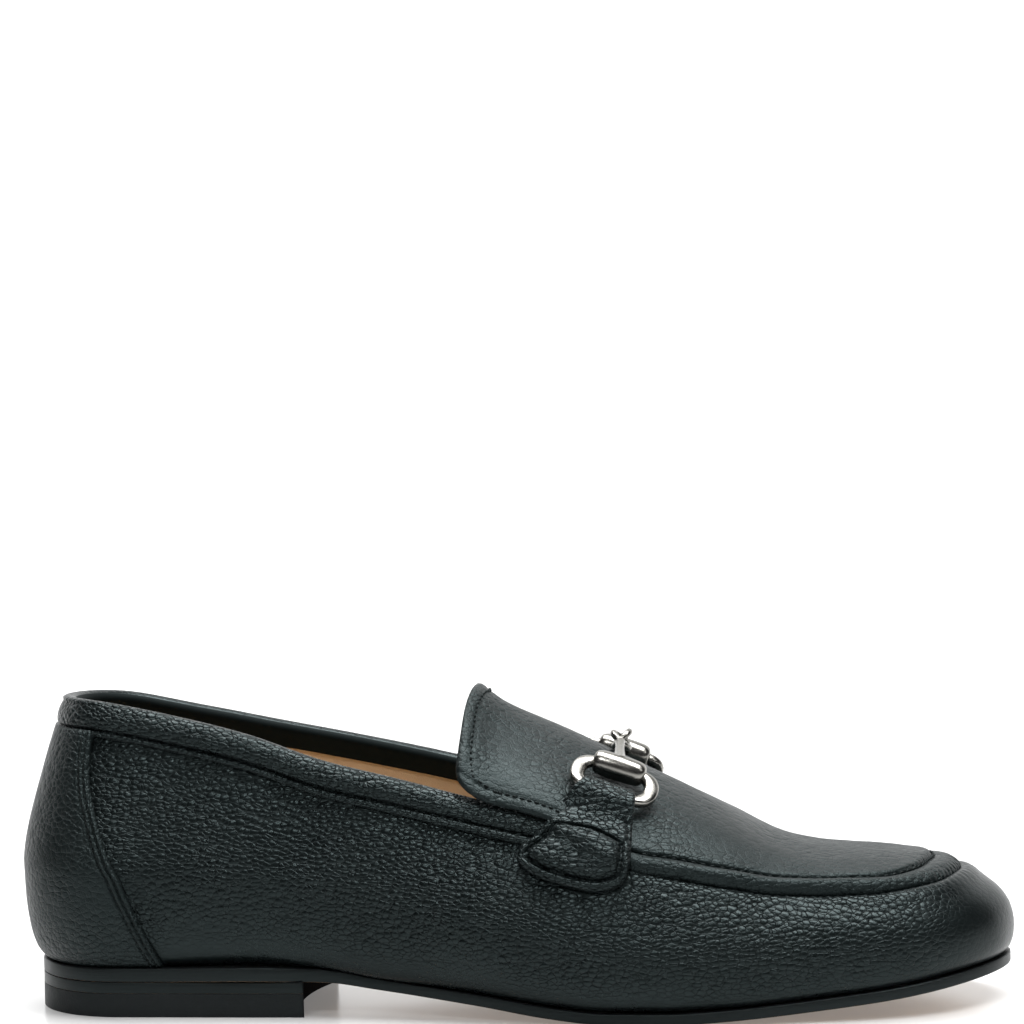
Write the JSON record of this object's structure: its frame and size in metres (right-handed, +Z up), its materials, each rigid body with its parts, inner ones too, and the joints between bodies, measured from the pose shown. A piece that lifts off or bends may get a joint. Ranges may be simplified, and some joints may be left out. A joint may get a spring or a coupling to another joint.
{
  "type": "snaffle bit loafer",
  "caption": "Men's slip-on leather loafer for the right foot with an apron toe, a padded collar and a metal snaffle bit held by stitched straps over the instep.",
  "frame": {"origin": "on the ground, under the middle of the shoe's box", "axes": "+X towards the toe, +Y towards the inner side of the foot, +Z up"},
  "size_m": [0.291, 0.0988, 0.0923],
  "materials": {
    "grain_leather": "pebbled full grain, semi-matt, near black",
    "smooth_leather": "fine grain, soft sheen, near black",
    "sole_leather": "black painted edge, natural underside",
    "insole_leather": "natural tan, matt",
    "heel_rubber": "black, matt",
    "bit_metal": "polished warm-grey plating"
  },
  "bodies": {
    "root": {"outsole": "sole_leather", "heel_lift": "sole_leather", "heel_top_piece": "heel_rubber", "insole": "insole_leather", "upper": "grain_leather", "heel_counter": "smooth_leather", "apron_tongue": "smooth_leather", "collar_band": "grain_leather", "strap_lateral": "grain_leather", "strap_medial": "grain_leather", "bit_ring_lateral": "bit_metal", "bit_ring_medial": "bit_metal", "bit_bar_lateral": "bit_metal", "bit_bar_medial": "bit_metal"}
  },
  "joints": []
}
